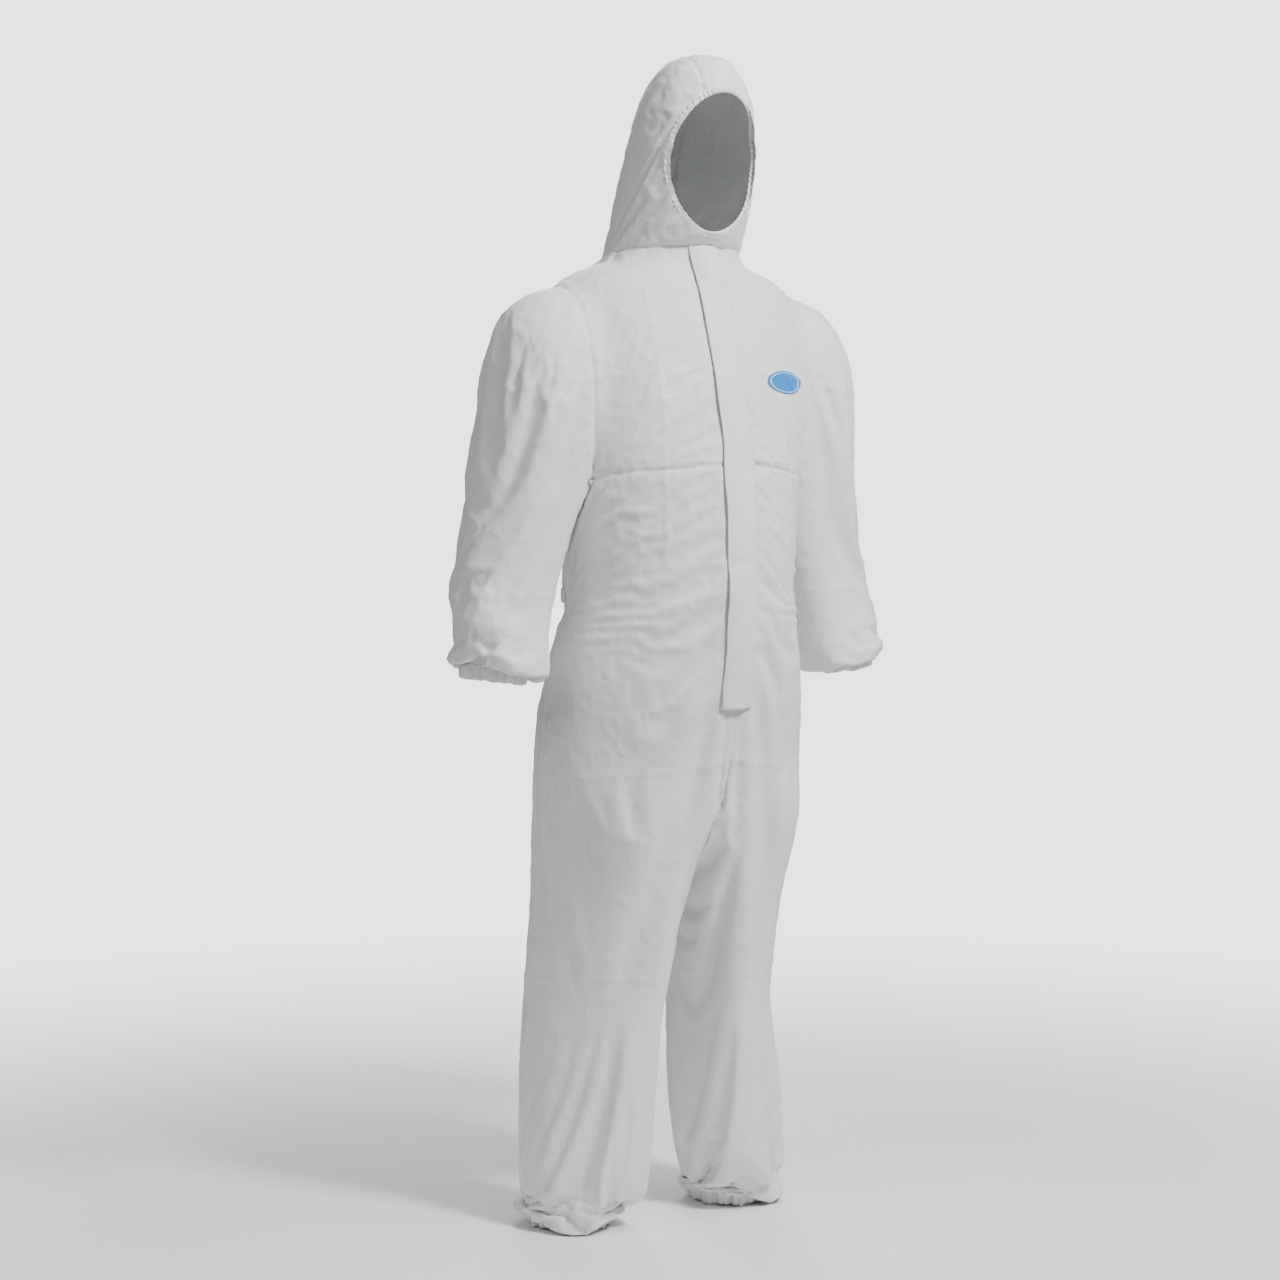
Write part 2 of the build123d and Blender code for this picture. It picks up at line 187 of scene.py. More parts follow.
def through(points, per_span):
    """Points along a smooth curve through the given ones."""
    p = np.array(points, float)
    ends = np.vstack([2 * p[0] - p[1], p, 2 * p[-1] - p[-2]])
    out = []
    for a, b, c, d in zip(ends, ends[1:], ends[2:], ends[3:]):
        for t in np.arange(per_span) / per_span:
            cubic = (2 * a - 5 * b + 4 * c - d) * t**2 + (3 * b - a - 3 * c + d) * t**3
            out.append(0.5 * (2 * b + (c - a) * t + cubic))
    return np.array(out + [p[-1]])


def tube_mesh(rings):
    """A capped tube through rings, each a centre, a half-width vector and a half-depth vector."""
    angles = np.linspace(0, 2 * math.pi, RING_POINTS, endpoint=False)
    rows = through([np.concatenate(ring) for ring in rings], RINGS_PER_SPAN)
    verts = [
        row[:3] + np.outer(np.cos(angles), row[3:6]) + np.outer(np.sin(angles), row[6:9]) for row in rows
    ]
    n, m = len(rows), RING_POINTS
    faces = [
        (i * m + j, i * m + (j + 1) % m, (i + 1) * m + (j + 1) % m, (i + 1) * m + j)
        for i in range(n - 1)
        for j in range(m)
    ]
    faces.append(tuple(reversed(range(m))))
    faces.append(tuple((n - 1) * m + j for j in range(m)))
    return np.concatenate(verts), faces


def torso_rings(body):
    rings = []
    rows = [(height, half_width, front_bow(height), back) for height, half_width, back in TORSO]
    for height, half_width, front, back in (*rows, *HOOD):
        ease = np.interp(height, *zip(*TORSO_EASE)) if body else 0
        half_width = max(half_width - ease, half_width / 3)
        half_depth = max((back - front) / 2 - ease, (back - front) / 6)
        top = min(height, HOOD[-1][0] - ease)
        rings.append(((0, (front + back) / 2, level(top)), (half_width, 0, 0), (0, half_depth, 0)))
    return [tuple(np.array(v, float) for v in ring) for ring in rings]


def leg_rings(side, body):
    ease = LEG_EASE if body else 0
    rings = []
    for height, x, y, half_width, half_depth in LEG:
        rings.append(((side * x, y, level(height)), (half_width - ease, 0, 0), (0, half_depth - ease, 0)))
    return [tuple(np.array(v, float) for v in ring) for ring in rings]


def sleeve_rings(side, body):
    rings = []
    for i, (inner_x, inner_h, outer_x, outer_h, y, half_depth) in enumerate(SLEEVE):
        ease = min(SLEEVE_EASE, 0.008 + 0.003 * i) if body else 0
        inner = np.array([side * inner_x, y, level(inner_h)])
        outer = np.array([side * outer_x, y, level(outer_h)])
        across = (outer - inner) / 2
        across *= 1 - ease / np.linalg.norm(across)
        rings.append(((inner + outer) / 2, across, np.array([0, half_depth - ease, 0])))
    return rings


def mesh_object(name, verts, faces):
    mesh = bpy.data.meshes.new(name)
    mesh.from_pydata([tuple(v) for v in verts], [], faces)
    mesh.update()
    obj = bpy.data.objects.new(name, mesh)
    bpy.context.scene.collection.objects.link(obj)
    return obj


def applied(obj):
    """Applies an object's modifiers."""
    graph = bpy.context.evaluated_depsgraph_get()
    mesh = bpy.data.meshes.new_from_object(obj.evaluated_get(graph))
    obj.modifiers.clear()
    obj.data = mesh
    return obj


def fused_form(name, body, step):
    """Torso, hood, sleeves and legs as one closed surface."""
    tubes = [torso_rings(body)]
    for side in (1, -1):
        tubes += [leg_rings(side, body), sleeve_rings(side, body)]
    verts, faces, count = [], [], 0
    for rings in tubes:
        points, quads = tube_mesh(rings)
        faces += [tuple(count + i for i in quad) for quad in quads]
        verts.append(points)
        count += len(points)
    obj = mesh_object(name, np.concatenate(verts), faces)
    bm = bmesh.new()
    bm.from_mesh(obj.data)
    bmesh.ops.recalc_face_normals(bm, faces=bm.faces)
    bm.to_mesh(obj.data)
    bm.free()
    remesh = obj.modifiers.new("Remesh", "REMESH")
    remesh.mode = "VOXEL"
    remesh.voxel_size = step
    smooth = obj.modifiers.new("Smooth", "SMOOTH")
    smooth.iterations = 8
    smooth.factor = 0.5
    return applied(obj)


def points_of(mesh):
    flat = np.empty(len(mesh.vertices) * 3)
    mesh.vertices.foreach_get("co", flat)
    return flat.reshape(-1, 3)


def set_points(mesh, points):
    mesh.vertices.foreach_set("co", points.astype(np.float32).ravel())
    mesh.update()


def wrist_frame(side):
    """Centre and along-the-arm direction of a wrist's hem."""
    x, y, height = WRIST_CENTRE
    centre = Vector((side * x, y, level(height)))
    along = Vector((side * math.sin(WRIST_LEAN), 0, -math.cos(WRIST_LEAN)))
    return centre, along


def cut(bm, co, normal, chosen):
    """Adds edges where a plane crosses the chosen faces."""
    faces = [f for f in bm.faces if chosen(f.calc_center_median())]
    geom = set(faces)
    for f in faces:
        geom.update(f.edges)
        geom.update(f.verts)
    bmesh.ops.bisect_plane(bm, geom=list(geom), dist=1e-4, plane_co=co, plane_no=normal)


def remove(bm, chosen):
    bmesh.ops.delete(bm, geom=[f for f in bm.faces if chosen(f.calc_center_median())], context="FACES")


def cut_seams(bm):
    """Edges along every seam and along the splits between moving lengths."""
    cut(bm, (0, 0, level(CHEST_SEAM)), (0, 0, 1), lambda c: abs(c.x) < ARMHOLE_X + 0.005)
    cut(bm, (0, 0, level(NECK_SEAM)), (0, 0, 1), lambda c: True)
    cut(bm, (0, 0, 0), (0, 1, 0), lambda c: abs(c.x) < 0.222 and level(0.62) < c.z < level(NECK_SEAM))
    cut(bm, (0, 0, level(LEG_SPLIT)), (0, 0, 1), lambda c: True)
    for side in (1, -1):
        cut(bm, (side * ARMHOLE_X, 0, 0), (1, 0, 0), lambda c: c.z > level(ARMPIT - 0.02))
        cut(
            bm, (side * ZIP_HALF_WIDTH, 0, 0), (1, 0, 0),
            lambda c: c.y < 0 and level(0.7) < c.z < level(1.46),
        )
        cut(bm, (side * HOOD_CENTRE_X, 0, 0), (1, 0, 0), lambda c: c.z > level(1.41))
        groin = (side * GROIN.x, 0, GROIN.z)
        cut(bm, (0, 0, level(CROTCH)), groin, lambda c: side * c.x > 0 and level(0.55) < c.z < level(0.80))
        for end in (1, -1):
            edge = (side * GUSSET_RADII[1], end * GUSSET_RADII[0], 0)
            tip = (0, GUSSET_Y + end * GUSSET_RADII[1], 0)

            def by_gusset(c):
                beside = side * c.x >= -0.01 and end * (c.y - GUSSET_Y) >= -0.01
                return beside and level(0.58) < c.z < level(0.70)

            cut(bm, tip, edge, by_gusset)


def wrist_frame(side):
    """Centre of a wrist's hem at its top, and the direction down the arm."""
    x, y, height = WRIST_CENTRE
    centre = Vector((side * x, y, level(height)))
    down = Vector((side * math.sin(WRIST_LEAN), 0, -math.cos(WRIST_LEAN)))
    return centre, down


def open_ends(bm):
    """Opens the cloth at the wrists, ankles and zip."""
    for side in (1, -1):
        centre, down = wrist_frame(side)
        near = lambda c: side * c.x > 0.225 and level(0.78) < c.z < level(0.91)
        cut(bm, centre, down, near)
        remove(bm, lambda c: near(c) and (c - centre).dot(down) > 0)
    cut(bm, (0, 0, level(HEM_HEIGHT)), (0, 0, 1), lambda c: True)
    remove(bm, lambda c: c.z < level(HEM_HEIGHT))
    cut(bm, (0, 0, level(ZIP_BOTTOM)), (0, 0, 1), lambda c: abs(c.x) < 0.03 and c.y < 0)
    remove(bm, lambda c: abs(c.x) < ZIP_HALF_WIDTH and c.y < 0 and level(ZIP_BOTTOM) < c.z < level(NECK_SEAM))


def face_reach(x, z):
    """How far out a point is from the face opening's centre: 1 on its edge."""
    return np.hypot(x / FACE_RADII[0], (z - level(FACE_CENTRE)) / FACE_RADII[1])


def open_face(bm):
    """Removes the cloth inside the face oval and fits its edge to the oval."""
    remove(bm, lambda c: c.y < FACE_FRONT_Y and face_reach(c.x, c.z) < 1)
    for v in bm.verts:
        if v.is_boundary and v.co.y < FACE_FRONT_Y and v.co.z > level(1.446):
            reach = face_reach(v.co.x, v.co.z)
            if reach < 1.3:
                v.co.x /= reach
                v.co.z = level(FACE_CENTRE) + (v.co.z - level(FACE_CENTRE)) / reach


def open_suit(obj):
    bm = bmesh.new()
    bm.from_mesh(obj.data)
    open_face(bm)
    cut_seams(bm)
    open_ends(bm)
    bmesh.ops.remove_doubles(bm, verts=bm.verts, dist=2e-4)
    bm.to_mesh(obj.data)
    bm.free()


# Cloth simulation


def held_points(rest):
    """Which points the zip, flap and hems keep in place."""
    x, y, z = rest.T
    flap = (x > FLAP_X[0] - 0.006) & (x < FLAP_X[1] + 0.005) & (y < 0)
    held = flap & (z > level(FLAP_HEIGHTS[0])) & (z < level(1.45))
    held |= z < level(HEM_HEIGHT) + 0.003
    held |= (face_reach(x, z) < 1.05) & (y < FACE_FRONT_Y)
    for side in (1, -1):
        centre, down = wrist_frame(side)
        along = (rest - np.array(centre)) @ np.array(down)
        held |= (side * x > 0.24) & (z < level(0.95)) & (along > -0.003)
    return held


# How much longer the cloth is than the outline, by height above the ankle hems
SHRINK_HEIGHTS = (0.0, 0.5, 0.75, 1.0, 1.12, 1.2, 1.45, 1.6)
SHRINK_AMOUNTS = (-0.085, -0.085, -0.08, -0.09, -0.08, -0.055, -0.045, -0.035)


def shrinkage(rest):
    """How much each point's cloth is shrunk: negative where it was cut too large."""
    x, y, z = rest.T
    h = z - FLOOR_Z
    shrink = np.interp(h, SHRINK_HEIGHTS, SHRINK_AMOUNTS)
    shrink[np.abs(x) > 0.2] = np.minimum(shrink[np.abs(x) > 0.2], -0.08)
    band = np.exp(-(((h - WAIST) / 0.018) ** 2)) * np.clip((y + 0.03) / 0.05, 0, 1) * (np.abs(x) < 0.21)
    return shrink * (1 - band) + 0.28 * band


def weigh(obj, name, weights):
    group = obj.vertex_groups.new(name=name)
    for i in np.nonzero(weights > 0)[0]:
        group.add([int(i)], float(weights[i]), "REPLACE")


def drape(suit, wearer, frames):
    """Lets oversized cloth fall round the wearer's stand-in."""
    rest = points_of(suit.data)
    shrink = shrinkage(rest)
    low, high = float(shrink.min()), float(shrink.max())
    weigh(suit, "held", held_points(rest).astype(float))
    weigh(suit, "gathered", (shrink - low) / (high - low))
    wearer.modifiers.new("Collision", "COLLISION")
    wearer.collision.thickness_outer = 0.003
    wearer.collision.cloth_friction = 10
    cloth = suit.modifiers.new("Cloth", "CLOTH")
    settings = cloth.settings
    settings.quality = 6
    settings.mass = 0.12
    settings.air_damping = 2
    settings.tension_stiffness = 25
    settings.compression_stiffness = 25
    settings.shear_stiffness = 10
    settings.bending_stiffness = 1.2
    settings.vertex_group_mass = "held"
    settings.vertex_group_shrink = "gathered"
    settings.shrink_min = low
    settings.shrink_max = high
    settings.use_pressure = True
    settings.uniform_pressure_force = 0.35
    cloth.collision_settings.collision_quality = 2
    cloth.collision_settings.distance_min = 0.003
    cloth.collision_settings.use_self_collision = False
    cloth.point_cache.frame_start = 1
    cloth.point_cache.frame_end = frames
    scene = bpy.context.scene
    for step in range(1, frames + 1):
        scene.frame_set(step)
    applied(suit)
    scene.frame_set(1)
    suit.vertex_groups.clear()


suit = fused_form("suit", False, CLOTH_STEP)
open_suit(suit)
rest = points_of(suit.data)
wearer = fused_form("wearer", True, 0.010)
drape(suit, wearer, CLOTH_FRAMES)
bpy.data.objects.remove(wearer)


# The draped cloth, refined once, with the creases, seams and gathers that are finer than the simulation


def refined(obj, rest):
    """Subdivides the cloth once, and returns its fine rest points in the same order."""
    flat = obj.copy()
    flat.data = obj.data.copy()
    bpy.context.scene.collection.objects.link(flat)
    set_points(flat.data, rest)
    for each in (obj, flat):
        fine = each.modifiers.new("Fine", "SUBSURF")
        fine.levels = 1
        applied(each)
    fine_rest = points_of(flat.data)
    bpy.data.objects.remove(flat)
    return fine_rest


def normals_of(mesh):
    flat = np.empty(len(mesh.vertices) * 3, np.float32)
    mesh.vertex_normals.foreach_get("vector", flat)
    return flat.reshape(-1, 3).astype(float)


def noise_field(points, scale, seed=0.0, octaves=2):
    """Smooth noise, about -1 to 1, at each point; scale is the size of its lumps in metres."""
    offset = Vector((seed, 3.1 * seed, 7.7 * seed))
    return np.array([noise.fractal(Vector(p) / scale + offset, 1.0, 2.0, octaves) for p in points])


def near(distance, width):
    return np.exp(-((distance / width) ** 2))


def seam_distances(rest):
    """Distance from each seam, far away where the seam doesn't run."""
    x, y, z = rest.T
    h = z - FLOOR_Z
    ax = np.abs(x)
    far = np.full(len(rest), 1.0)
    torso = ax < ARMHOLE_X + 0.01
    return {
        "chest": np.where(torso & (y < 0.01), np.abs(h - CHEST_SEAM), far),
        "armhole": np.where(h > ARMPIT - 0.01, np.abs(ax - ARMHOLE_X), far),
        "neck": np.where(ax < 0.13, np.abs(h - NECK_SEAM), far),
        "hood": np.where(
            (h > NECK_SEAM) & ((y > -0.02) | (h > FACE_CENTRE)), np.abs(ax - HOOD_CENTRE_X), far
        ),
        "side": np.where((h > CROTCH) & (h < NECK_SEAM) & (ax > 0.10) & (ax < 0.222), np.abs(y), far),
        "centre": np.where((h < FLAP_HEIGHTS[0]) & (h > CROTCH) & (y < 0), ax, far),
        "back": np.where((h > CROTCH) & (h < NECK_SEAM) & (y > 0.05), ax, far),
    }


# Height and half width of the level creases left by folding the suit for its packet
PACKING_FOLDS = ((0.985, 0.0035), (1.262, 0.003), (0.705, 0.0035), (0.43, 0.0035))


def crease_shape(rest):
    """Outward movement: fold lines from packing, crumples, and puckers along the seams."""
    x, y, z = rest.T
    h = z - FLOOR_Z
    soft = noise_field(rest, 0.060, 2.0)
    ridges = 1 - 2 * np.abs(noise_field(rest * (1, 1, 0.8), 0.034, 5.0))
    move = 0.0006 * soft + 0.0010 * np.clip(ridges, 0, 1) ** 3
    packing = sum(near(h - height, width) for height, width in PACKING_FOLDS)
    packing += near(np.abs(x) - 0.104, 0.003) * (h > 0.98) * (h < 1.38)
    move += 0.0010 * packing
    for i, (seam, distance) in enumerate(seam_distances(rest).items()):
        groove = 0.0024 if seam in ("chest", "armhole", "neck") else 0.0015
        move -= groove * near(distance, 0.0036)
        waves = noise_field(rest, 0.011, 11.0 + i, 1)
        move += 0.0016 * waves * near(distance - 0.010, 0.010)
    return move


def ruffle(angle, seed):
    """Uneven gathers round a ring, about -1 to 1."""
    wander = 0.7 * np.sin(3 * angle + seed) + 0.5 * np.sin(5 * angle + 2.1 * seed)
    slow, quick = np.sin(13 * angle + 2 * wander), np.sin(29 * angle + 1.7 * seed + 3 * wander)
    return 0.5 * slow + 0.3 * quick + 0.25 * np.sin(41 * angle - 4 * wander)


def face_angle(points):
    return np.arctan2((points[:, 2] - level(FACE_CENTRE)) / FACE_RADII[1], points[:, 0] / FACE_RADII[0])


def wrist_axes(side):
    centre, down = wrist_frame(side)
    across = Vector((side * math.cos(WRIST_LEAN), 0, math.sin(WRIST_LEAN)))
    return np.array(centre), np.array(across), np.array((0.0, 1.0, 0.0)), np.array(down)


def ankle_axes(side):
    x, y, height = ANKLE_CENTRE
    centre = np.array((side * x, y, level(height)))
    return centre, np.array((side * 1.0, 0, 0)), np.array((0.0, 1.0, 0.0)), np.array((0, 0, -1.0))


def ring_place(points, axes, radii):
    """Angle round a hem, outward direction, and distance up the cloth from it."""
    centre, across, deep, down = axes
    d = points - centre
    a, b = d @ across / radii[0], d @ deep / radii[1]
    angle = np.arctan2(b, a)
    outward = np.outer(np.cos(angle), across) + np.outer(np.sin(angle), deep)
    return angle, outward, -(d @ down)


HEM_GATHER = 0.0042
FACE_GATHER = 0.0009


def gather_ends(points, rest):
    """Gathers that fade out with distance from each elasticated hem."""
    points = points.copy()
    z = rest[:, 2]
    for side in (1, -1):
        rings = (
            (
                wrist_axes(side), WRIST_RADII,
                (side * rest[:, 0] > 0.225) & (z > level(0.80)) & (z < level(0.97)), 0.026,
            ),
            (ankle_axes(side), ANKLE_RADII, (side * rest[:, 0] > 0) & (z < level(0.13)), 0.030),
        )
        for seed, (axes, radii, chosen, fade) in enumerate(rings):
            angle, outward, up = ring_place(rest, axes, radii)
            size = HEM_GATHER * np.exp(-np.clip(up, 0, None) / fade) * chosen
            wave = ruffle(angle, seed + side)
            points += outward * (size * wave)[:, None]
    reach = face_reach(rest[:, 0], z)
    rim = (rest[:, 1] < FACE_FRONT_Y) & (reach < 1.8)
    size = FACE_GATHER * np.exp(-np.clip(reach - 1.06, 0, None) / 0.22) * rim
    wave = np.sin(74 * face_angle(rest) + 3 * np.sin(7 * face_angle(rest)))
    points[:, 1] -= size * wave
    return points


PANELS = (
    "sleeve_left", "sleeve_right", "leg_lower_left", "leg_lower_right", "leg_upper_left", "leg_upper_right",
    "hood_centre", "hood_chin", "hood_side_left", "hood_side_right", "crotch_gusset",
    "front_upper_left", "front_upper_right", "front_lower_left", "front_lower_right",
    "back_upper", "back_lower",
)


def panel_labels(c):
    """Which panel each face belongs to, from its centre in the undraped cloth."""
    x, y, z = c.T
    h = z - FLOOR_Z
    ax, left = np.abs(x), x > 0
    groin = ax * GROIN.x + (h - CROTCH) * GROIN.z
    gusset = (ax / GUSSET_RADII[0] + np.abs(y - GUSSET_Y) / GUSSET_RADII[1] < 1) & (h > 0.58) & (h < 0.70)
    sleeve = ((h > ARMPIT - 0.02) & (h < NECK_SEAM) & (ax > ARMHOLE_X)) | ((h > 0.81) & (ax > 0.220))
    sleeve |= (h > 1.0) & (h <= ARMPIT - 0.02) & (ax > 0.1955)
    hood, lower, upper = h > NECK_SEAM, h < LEG_SPLIT, h > CHEST_SEAM
    front, middle = y < 0, ax < HOOD_CENTRE_X
    tests = {
        "sleeve": sleeve,
        "leg_lower": lower,
        "crotch_gusset": gusset,
        "leg_upper": (groin > 0) & (h < 0.80),
        "hood_chin": hood & middle & (y < 0) & (h < FACE_CENTRE),
        "hood_centre": hood & middle,
        "hood_side": hood,
        "back_upper": upper & ~front,
        "back_lower": ~front,
        "front_upper": upper,
        "front_lower": front,
    }
    labels = np.full(len(c), "", dtype=object)
    for name, test in tests.items():
        paired = f"{name}_left" not in PANELS
        side = np.where(left, "_left", "_right") if not paired else np.full(len(c), "", dtype=object)
        free = (labels == "") & test
        labels[free] = (np.full(len(c), name, dtype=object) + side.astype(object))[free]
    return labels


def panels_of(obj, rest, points):
    """Splits the cloth into its panels, which share their edges and shading."""
    mesh = obj.data
    set_points(mesh, points)
    normals = normals_of(mesh)
    quads = np.array([list(p.vertices) if len(p.vertices) == 4 else [0] * 4 for p in mesh.polygons])
    labels = panel_labels(rest[quads].mean(axis=1))
    panels = {}
    for name in PANELS:
        chosen = quads[labels == name]
        used, index = np.unique(chosen, return_inverse=True)
        panel = mesh_object(f"suit_{name}", points[used], index.reshape(-1, 4).tolist())
        panel.data.polygons.foreach_set("use_smooth", [True] * len(panel.data.polygons))
        flat = panel.data.attributes.new("cloth", "FLOAT_VECTOR", "POINT")
        flat.data.foreach_set("vector", rest[used].astype(np.float32).ravel())
        panel.data.normals_split_custom_set_from_vertices(normals[used].tolist())
        panels[name] = panel
    bpy.data.objects.remove(obj)
    return panels


rest = refined(suit, rest)
draped = points_of(suit.data)
shape = draped + normals_of(suit.data) * crease_shape(rest)[:, None]
shape = gather_ends(shape, rest)
shape[:, 2] = np.maximum(shape[:, 2], FLOOR_Z + 0.001 + 0.1 * np.clip(shape[:, 2] - FLOOR_Z, -0.02, 0))
panels = panels_of(suit, rest, shape)
surface = BVHTree.FromPolygons(
    [tuple(v.co) for p in panels.values() for v in p.data.vertices],
    [
        tuple(base + i for i in f.vertices)
        for p, base in zip(panels.values(), np.cumsum([0] + [len(p.data.vertices) for p in panels.values()]))
        for f in p.data.polygons
    ],
)


# Materials


class Shader:
    """A Principled material built up from nodes."""

    def __init__(self, name, roughness, **constants):
        self.material = bpy.data.materials.new(name)
        self.material.use_nodes = True
        self.tree = self.material.node_tree
        self.bsdf = self.tree.nodes["Principled BSDF"]
        self.bsdf.inputs["Roughness"].default_value = roughness
        for socket, value in constants.items():
            self.bsdf.inputs[socket.replace("_", " ")].default_value = value

    def node(self, kind, inputs=None, **settings):
        node = self.tree.nodes.new(kind)
        for key, value in settings.items():
            setattr(node, key, value)
        for socket, value in (inputs or {}).items():
            if isinstance(value, bpy.types.NodeSocket):
                self.tree.links.new(value, node.inputs[socket])
            else:
                node.inputs[socket].default_value = value
        return node

    def cloth_place(self):
        """Where the point lies on the undraped cloth."""
        return self.node("ShaderNodeAttribute", attribute_name="cloth").outputs["Vector"]

    def object_place(self):
        return self.node("ShaderNodeTexCoord").outputs["Object"]

    def noise(self, place, size, detail=2.0):
        inputs = {"Vector": place, "Scale": 1 / size, "Detail": detail}
        return self.node("ShaderNodeTexNoise", inputs).outputs["Fac"]

    def math(self, operation, a, b=0.0):
        return self.node("ShaderNodeMath", {0: a, 1: b}, operation=operation).outputs[0]

    def ramp(self, value, *stops):
        node = self.node("ShaderNodeValToRGB", {"Fac": value})
        elements = node.color_ramp.elements
        while len(elements) < len(stops):
            elements.new(0.5)
        for element, (position, color) in zip(elements, stops):
            element.position = position
            element.color = (*color, 1)
        return node.outputs["Color"]

    def colour(self, output):
        self.tree.links.new(output, self.bsdf.inputs["Base Color"])

    def bump(self, height, distance, strength=1.0, under=None):
        inputs = {"Height": height, "Distance": distance, "Strength": strength}
        if under is not None:
            inputs["Normal"] = under
        return self.node("ShaderNodeBump", inputs).outputs["Normal"]

    def finish(self, normal):
        self.tree.links.new(normal, self.bsdf.inputs["Normal"])
        return self.material


def grid_lines(shader, place, pitch, width):
    """A faint square grid: 1 on its lines, from the cloth's own axes."""
    axes = shader.node("ShaderNodeSeparateXYZ", {0: place})
    lines = None
    for axis in ("X", "Z"):
        phase = shader.math("FRACT", shader.math("DIVIDE", axes.outputs[axis], pitch))
        line = shader.math("LESS_THAN", phase, width / pitch)
        lines = line if lines is None else shader.math("MAXIMUM", lines, line)
    return lines


def nonwoven(name="nonwoven", tint=(1, 1, 1), grid=1.0):
    """White microporous laminate: mottled, finely embossed, with a faint square grid."""
    shader = Shader(name, 0.62, Sheen_Weight=0.12, Sheen_Roughness=0.5, Specular_IOR_Level=0.35)
    place = shader.cloth_place()
    fibres = shader.noise(place, 0.0032, 4.0)
    clouds = shader.noise(place, 0.090, 3.0)
    mix = shader.math("ADD", shader.math("MULTIPLY", fibres, 0.5), shader.math("MULTIPLY", clouds, 0.5))
    dark = tuple(0.735 * t for t in tint), tuple(0.86 * t for t in tint)
    shader.colour(shader.ramp(mix, (0.30, (dark[0][0], dark[0][1] * 1.012, dark[0][2] * 1.03)),
                              (0.68, (dark[1][0], dark[1][1] * 1.008, dark[1][2] * 1.018))))
    emboss = shader.node("ShaderNodeTexVoronoi", {"Vector": place, "Scale": 620.0}).outputs["Distance"]
    low = shader.bump(shader.noise(place, 0.011, 3.0), 0.0011, 0.5)
    middle = shader.bump(emboss, 0.0004, 0.35, low)
    fine = shader.bump(fibres, 0.0005, 0.45, middle)
    lines = grid_lines(shader, place, 0.0105, 0.0011)
    return shader.finish(shader.bump(lines, -0.00022, 0.5 * grid, fine))


def printed_badge():
    """Blue print on the nonwoven, with a pale line inside its edge."""
    shader = Shader("badge_print", 0.45, Specular_IOR_Level=0.4)
    place = shader.cloth_place()
    axes = shader.node("ShaderNodeSeparateXYZ", {0: place})
    reach = axes.outputs["X"]
    speckle = shader.noise(place, 0.012, 3.0)
    blue = shader.ramp(speckle, (0.3, (0.012, 0.205, 0.560)), (0.7, (0.022, 0.270, 0.680)))
    line = shader.math("COMPARE", reach, 0.84)
    line.node.inputs[2].default_value = 0.030
    mix = shader.node("ShaderNodeMix", {0: line, 6: blue, 7: (0.62, 0.78, 0.92, 1)}, data_type="RGBA")
    shader.colour(mix.outputs[2])
    return shader.finish(shader.bump(speckle, 0.0004, 0.3))


def woven(name, low, high, pitch=0.0011):
    """A narrow woven tape."""
    shader = Shader(name, 0.68, Sheen_Weight=0.15, Specular_IOR_Level=0.3)
    place = shader.object_place()
    speckle = shader.noise(place, 0.004, 3.0)
    shader.colour(shader.ramp(speckle, (0.3, low), (0.7, high)))
    waves = {"Vector": place, "Scale": 1 / (6.3 * pitch), "Distortion": 0.4}
    weft = shader.node("ShaderNodeTexWave", waves, bands_direction="Z").outputs["Fac"]
    warp = shader.node("ShaderNodeTexWave", waves, bands_direction="X").outputs["Fac"]
    return shader.finish(shader.bump(shader.math("MULTIPLY", weft, warp), 0.0003, 0.8))


def nylon_coil():
    """A moulded coil seen as close ridges across the zip, with painted shade in the grooves between them and
    painted highlight on their crests.
    """
    shader = Shader("zip_coil", 0.38, Specular_IOR_Level=0.5)
    place = shader.object_place()
    ridges = shader.node(
        "ShaderNodeTexWave", {"Vector": place, "Scale": 1 / (6.3 * 0.0013)}, bands_direction="Z"
    ).outputs["Fac"]
    # Painted shade and highlight: the colour follows the ridges, dark in the grooves and pale on the crests.
    shader.colour(shader.ramp(ridges, (0.1, (0.50, 0.51, 0.53)), (0.6, (0.80, 0.81, 0.83))))
    return shader.finish(shader.bump(ridges, 0.0006, 1.0))


def enamel():
    """White enamel over die-cast metal, faintly scuffed."""
    shader = Shader("slider_enamel", 0.32, Coat_Weight=0.3, Coat_Roughness=0.2)
    speckle = shader.noise(shader.object_place(), 0.0016, 5.0)
    shader.colour(shader.ramp(speckle, (0.25, (0.60, 0.61, 0.63)), (0.5, (0.80, 0.81, 0.82))))
    return shader.finish(shader.bump(speckle, 0.0001, 0.3))


def paper_liner(name, low, high, roughness):
    shader = Shader(name, roughness, Specular_IOR_Level=0.45)
    fibres = shader.noise(shader.object_place(), 0.0025, 5.0)
    shader.colour(shader.ramp(fibres, (0.3, low), (0.7, high)))
    return shader.finish(shader.bump(fibres, 0.00015, 0.4))


# Distances from the middle at which the floor starts to fade and is gone
FLOOR_FADE = (0.7, 3.0)


def floor_material():
    """Pale floor whose edge fades out, so that it meets the backdrop without a line."""
    shader = Shader("studio_floor", 0.85, Specular_IOR_Level=0.1)
    place = shader.object_place()
    cloud = shader.noise(place, 1.5, 2.0)
    shader.colour(shader.ramp(cloud, (0.2, (0.88, 0.88, 0.88)), (0.8, (0.91, 0.91, 0.91))))
    distance = shader.node("ShaderNodeVectorMath", {0: place}, operation="LENGTH").outputs["Value"]
    inputs = {"Value": distance, "From Min": FLOOR_FADE[0], "From Max": FLOOR_FADE[1]}
    inputs.update({"To Min": 1.0, "To Max": 0.0})
    fade = shader.node("ShaderNodeMapRange", inputs, interpolation_type="SMOOTHSTEP").outputs["Result"]
    shader.tree.links.new(fade, shader.bsdf.inputs["Alpha"])
    return shader.finish(shader.bump(cloud, 0.001, 0.05))


# Hems, flap, badge and casing


